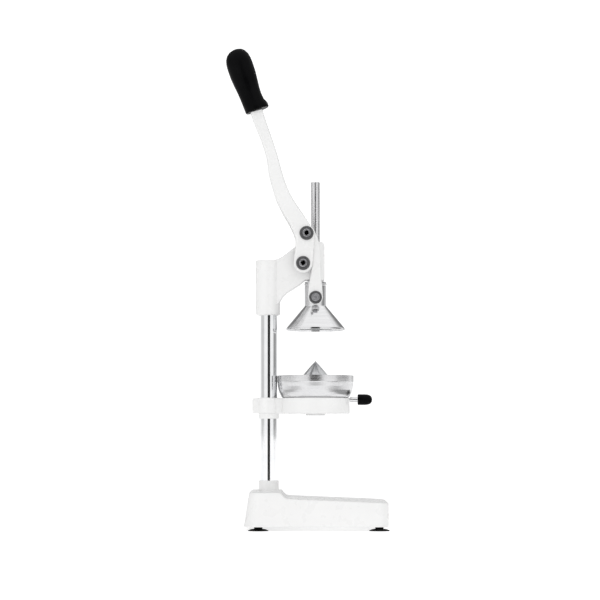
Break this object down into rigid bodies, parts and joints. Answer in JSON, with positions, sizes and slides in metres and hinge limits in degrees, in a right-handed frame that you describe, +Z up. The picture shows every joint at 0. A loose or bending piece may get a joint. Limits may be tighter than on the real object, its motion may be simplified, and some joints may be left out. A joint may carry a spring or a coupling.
{
  "type": "citrus press juicer",
  "caption": "Manual lever citrus press: hollow cast base, chrome column, forked lever with links to a steel press bell, bowl bracket with strainer, reamer and tilting drip funnel.",
  "frame": {"origin": "on the table, at the centre of the footprint box of the whole object with the lever raised", "axes": "+X to the user (the side of the bowl and the handle), +Y to the object's left, +Z up along the column"},
  "size_m": [0.2415, 0.164, 0.72],
  "materials": {
    "white_enamel": "gloss",
    "chrome": "polished",
    "polished_steel": "polished",
    "satin_steel": "satin",
    "zinc_steel": "satin",
    "dark_steel": "satin",
    "cast_aluminium": "satin",
    "bronze": "satin",
    "black_plastic": "gloss",
    "black_rubber": "matte"
  },
  "bodies": {
    "stand": {"base_casting": "white_enamel", "column_tube": "chrome", "column_plug": "zinc_steel", "column_bolt": "zinc_steel", "column_washer": "zinc_steel", "foot_front_left": "black_rubber", "foot_front_right": "black_rubber", "foot_rear_left": "black_rubber", "foot_rear_right": "black_rubber", "foot_screw_front_left": "zinc_steel", "foot_screw_front_right": "zinc_steel", "foot_screw_rear_left": "zinc_steel", "foot_screw_rear_right": "zinc_steel", "head_casting": "white_enamel", "head_set_screw": "dark_steel", "guide_bush_lower": "bronze", "guide_bush_upper": "bronze", "fulcrum_bolt": "zinc_steel", "fulcrum_nut": "zinc_steel", "fulcrum_washer_left": "dark_steel", "fulcrum_washer_right": "dark_steel", "fulcrum_spacer_left": "zinc_steel", "fulcrum_spacer_right": "zinc_steel", "bowl_bracket": "white_enamel", "bracket_set_screw": "dark_steel", "juice_bowl": "satin_steel", "strainer": "satin_steel", "reamer": "cast_aluminium", "funnel_pin_left": "zinc_steel", "funnel_pin_right": "zinc_steel"},
    "lever": {"lever_arm": "white_enamel", "grip": "black_plastic", "crank_bolt_left": "zinc_steel", "crank_bolt_right": "zinc_steel", "crank_washer_left": "dark_steel", "crank_washer_right": "dark_steel"},
    "press": {"press_bell": "polished_steel", "press_rod": "satin_steel", "press_pin": "zinc_steel"},
    "links": {"link_left": "white_enamel", "link_right": "white_enamel", "link_bush_left": "bronze", "link_bush_right": "bronze", "link_bolt_left": "zinc_steel", "link_bolt_right": "zinc_steel", "link_washer_left": "dark_steel", "link_washer_right": "dark_steel"},
    "funnel": {"drip_funnel": "white_enamel", "handle_stem": "polished_steel", "handle_knob": "black_plastic"}
  },
  "joints": [
    {"name": "lever_pivot", "type": "hinge", "parent": "stand", "child": "lever", "pos_m": [-0.0045, 0, 0.3935], "axis": [0, 1, 0], "range_deg": [0, 120]},
    {"name": "press_slide", "type": "slide", "parent": "stand", "child": "press", "axis": [0, 0, -1], "range_m": [0, 0.071]},
    {"name": "link_pivot", "type": "hinge", "parent": "press", "child": "links", "pos_m": [0.014, 0, 0.343], "axis": [0, 1, 0], "range_deg": [0, 18.6]},
    {"name": "funnel_tilt", "type": "hinge", "parent": "stand", "child": "funnel", "pos_m": [0.014, 0, 0.183], "axis": [0, 1, 0], "range_deg": [0, 8]}
  ],
  "couplings": [
    {"joint": "press_slide", "follows": "lever_pivot", "m_per_rad": 0.033893},
    {"joint": "link_pivot", "follows": "lever_pivot", "ratio": 0.15453}
  ]
}
